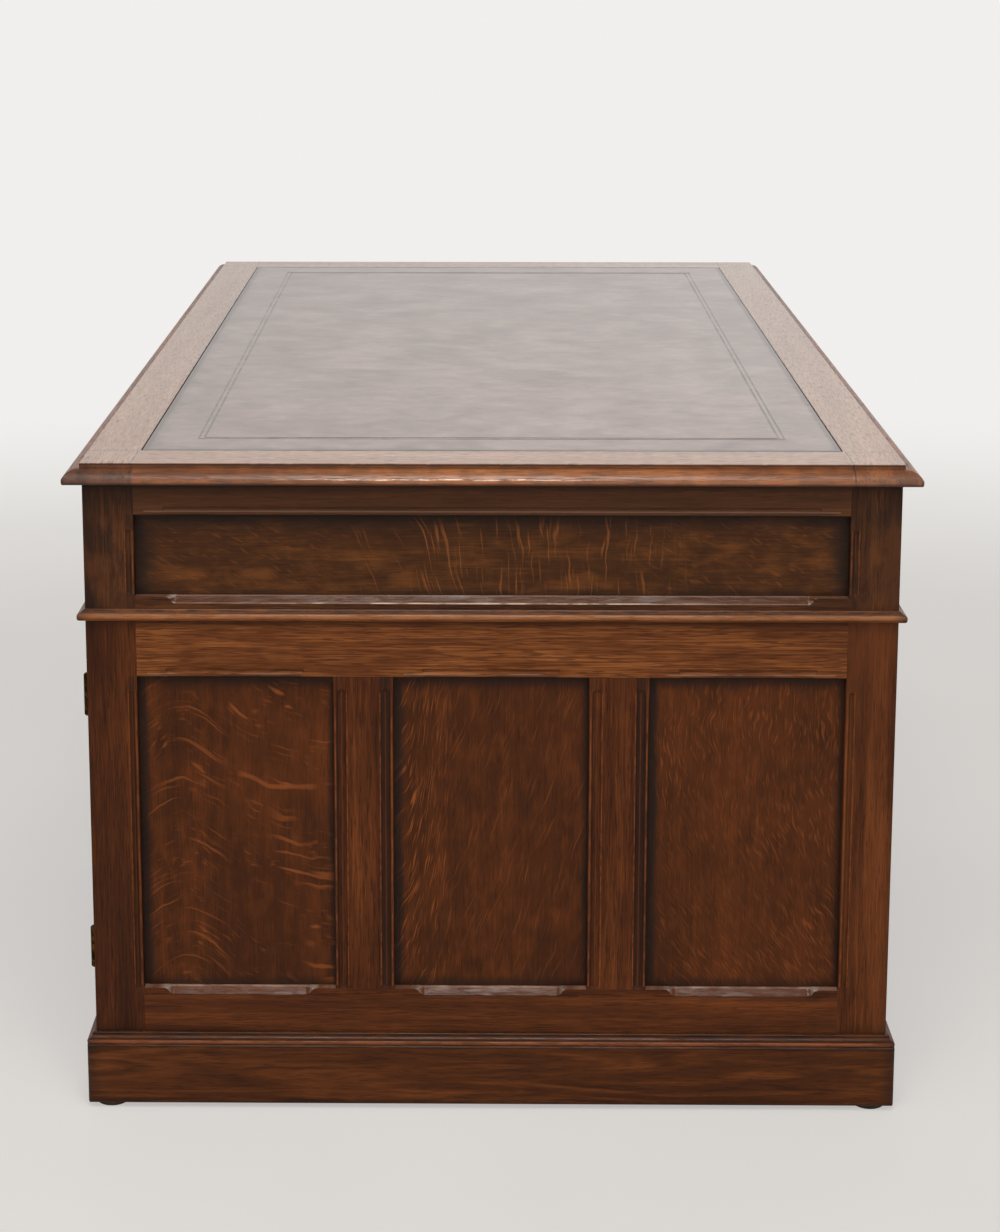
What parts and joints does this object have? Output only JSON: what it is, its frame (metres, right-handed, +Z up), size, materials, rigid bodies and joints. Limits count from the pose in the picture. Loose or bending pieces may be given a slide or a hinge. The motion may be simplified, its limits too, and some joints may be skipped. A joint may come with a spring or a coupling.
{
  "type": "partners desk",
  "caption": "Pedestal partners desk in dark oak with a tooled leather top, panelled ends, frieze drawers on both faces, and graduated drawers backed by cupboards.",
  "frame": {"origin": "on the floor under the middle of the desk", "axes": "+Z up, X along the desk's length, front with the graduated drawers towards -Y, cupboards towards +Y"},
  "size_m": [1.524, 0.9864, 0.78],
  "materials": {
    "oak_top": "waxed and worn",
    "oak_frame": "dark polished",
    "oak_panel": "dark polished, quarter-sawn figure",
    "oak_moulding": "polished, worn on the arris",
    "oak_plinth": "polished",
    "oak_feet": "plain",
    "oak_carcase": "stained",
    "oak_drawer_front": "dark polished",
    "oak_lining": "unpolished",
    "oak_knob": "polished",
    "oak_door_frame": "dark polished",
    "brass": "aged",
    "leather": "waxed hide, tooled border"
  },
  "bodies": {
    "case": {"cupboard_hinges": "brass", "feet": "oak_feet", "frieze_drawer_rails": "oak_frame", "frieze_end_frames": "oak_frame", "frieze_end_panels": "oak_panel", "frieze_interior": "oak_carcase", "pedestal_boards": "oak_carcase", "pedestal_drawer_rails": "oak_carcase", "pedestal_panels": "oak_panel", "pedestal_side_frames": "oak_frame", "plinth_boards": "oak_plinth", "top_core": "oak_top", "top_end_boards": "oak_top", "top_long_boards": "oak_top", "waist_moulding": "oak_moulding", "writing_leather": "leather"},
    "front_frieze_centre_drawer": {"front_frieze_centre_drawer_box": "oak_lining", "front_frieze_centre_drawer_front": "oak_drawer_front", "front_frieze_centre_drawer_knobs": "oak_knob"},
    "front_frieze_left_drawer": {"front_frieze_left_drawer_box": "oak_lining", "front_frieze_left_drawer_front": "oak_drawer_front", "front_frieze_left_drawer_knobs": "oak_knob"},
    "front_frieze_right_drawer": {"front_frieze_right_drawer_box": "oak_lining", "front_frieze_right_drawer_front": "oak_drawer_front", "front_frieze_right_drawer_knobs": "oak_knob"},
    "left_door": {"left_door_frame": "oak_door_frame", "left_door_hinge_leaves": "brass", "left_door_knob": "oak_knob", "left_door_panel": "oak_panel"},
    "left_lower_drawer": {"left_lower_drawer_box": "oak_lining", "left_lower_drawer_front": "oak_drawer_front", "left_lower_drawer_knobs": "oak_knob"},
    "left_middle_drawer": {"left_middle_drawer_box": "oak_lining", "left_middle_drawer_front": "oak_drawer_front", "left_middle_drawer_knobs": "oak_knob"},
    "left_upper_drawer": {"left_upper_drawer_box": "oak_lining", "left_upper_drawer_front": "oak_drawer_front", "left_upper_drawer_knobs": "oak_knob"},
    "rear_frieze_centre_drawer": {"rear_frieze_centre_drawer_box": "oak_lining", "rear_frieze_centre_drawer_front": "oak_drawer_front", "rear_frieze_centre_drawer_knobs": "oak_knob"},
    "rear_frieze_left_drawer": {"rear_frieze_left_drawer_box": "oak_lining", "rear_frieze_left_drawer_front": "oak_drawer_front", "rear_frieze_left_drawer_knobs": "oak_knob"},
    "rear_frieze_right_drawer": {"rear_frieze_right_drawer_box": "oak_lining", "rear_frieze_right_drawer_front": "oak_drawer_front", "rear_frieze_right_drawer_knobs": "oak_knob"},
    "right_door": {"right_door_frame": "oak_door_frame", "right_door_hinge_leaves": "brass", "right_door_knob": "oak_knob", "right_door_panel": "oak_panel"},
    "right_lower_drawer": {"right_lower_drawer_box": "oak_lining", "right_lower_drawer_front": "oak_drawer_front", "right_lower_drawer_knobs": "oak_knob"},
    "right_middle_drawer": {"right_middle_drawer_box": "oak_lining", "right_middle_drawer_front": "oak_drawer_front", "right_middle_drawer_knobs": "oak_knob"},
    "right_upper_drawer": {"right_upper_drawer_box": "oak_lining", "right_upper_drawer_front": "oak_drawer_front", "right_upper_drawer_knobs": "oak_knob"}
  },
  "joints": [
    {"name": "front_frieze_left_drawer_slide", "type": "slide", "parent": "case", "child": "front_frieze_left_drawer", "axis": [0, -1, 0], "range_m": [0, 0.33]},
    {"name": "rear_frieze_left_drawer_slide", "type": "slide", "parent": "case", "child": "rear_frieze_left_drawer", "axis": [0, 1, 0], "range_m": [0, 0.33]},
    {"name": "front_frieze_centre_drawer_slide", "type": "slide", "parent": "case", "child": "front_frieze_centre_drawer", "axis": [0, -1, 0], "range_m": [0, 0.33]},
    {"name": "rear_frieze_centre_drawer_slide", "type": "slide", "parent": "case", "child": "rear_frieze_centre_drawer", "axis": [0, 1, 0], "range_m": [0, 0.33]},
    {"name": "front_frieze_right_drawer_slide", "type": "slide", "parent": "case", "child": "front_frieze_right_drawer", "axis": [0, -1, 0], "range_m": [0, 0.33]},
    {"name": "rear_frieze_right_drawer_slide", "type": "slide", "parent": "case", "child": "rear_frieze_right_drawer", "axis": [0, 1, 0], "range_m": [0, 0.33]},
    {"name": "left_lower_drawer_slide", "type": "slide", "parent": "case", "child": "left_lower_drawer", "axis": [0, -1, 0], "range_m": [0, 0.33]},
    {"name": "left_middle_drawer_slide", "type": "slide", "parent": "case", "child": "left_middle_drawer", "axis": [0, -1, 0], "range_m": [0, 0.33]},
    {"name": "left_upper_drawer_slide", "type": "slide", "parent": "case", "child": "left_upper_drawer", "axis": [0, -1, 0], "range_m": [0, 0.33]},
    {"name": "right_lower_drawer_slide", "type": "slide", "parent": "case", "child": "right_lower_drawer", "axis": [0, -1, 0], "range_m": [0, 0.33]},
    {"name": "right_middle_drawer_slide", "type": "slide", "parent": "case", "child": "right_middle_drawer", "axis": [0, -1, 0], "range_m": [0, 0.33]},
    {"name": "right_upper_drawer_slide", "type": "slide", "parent": "case", "child": "right_upper_drawer", "axis": [0, -1, 0], "range_m": [0, 0.33]},
    {"name": "left_door_hinge", "type": "hinge", "parent": "case", "child": "left_door", "pos_m": [-0.7162, 0.4683, 0.3425], "axis": [0, 0, 1], "range_deg": [0, 180]},
    {"name": "right_door_hinge", "type": "hinge", "parent": "case", "child": "right_door", "pos_m": [0.7162, 0.4683, 0.3425], "axis": [0, 0, -1], "range_deg": [0, 180]}
  ]
}
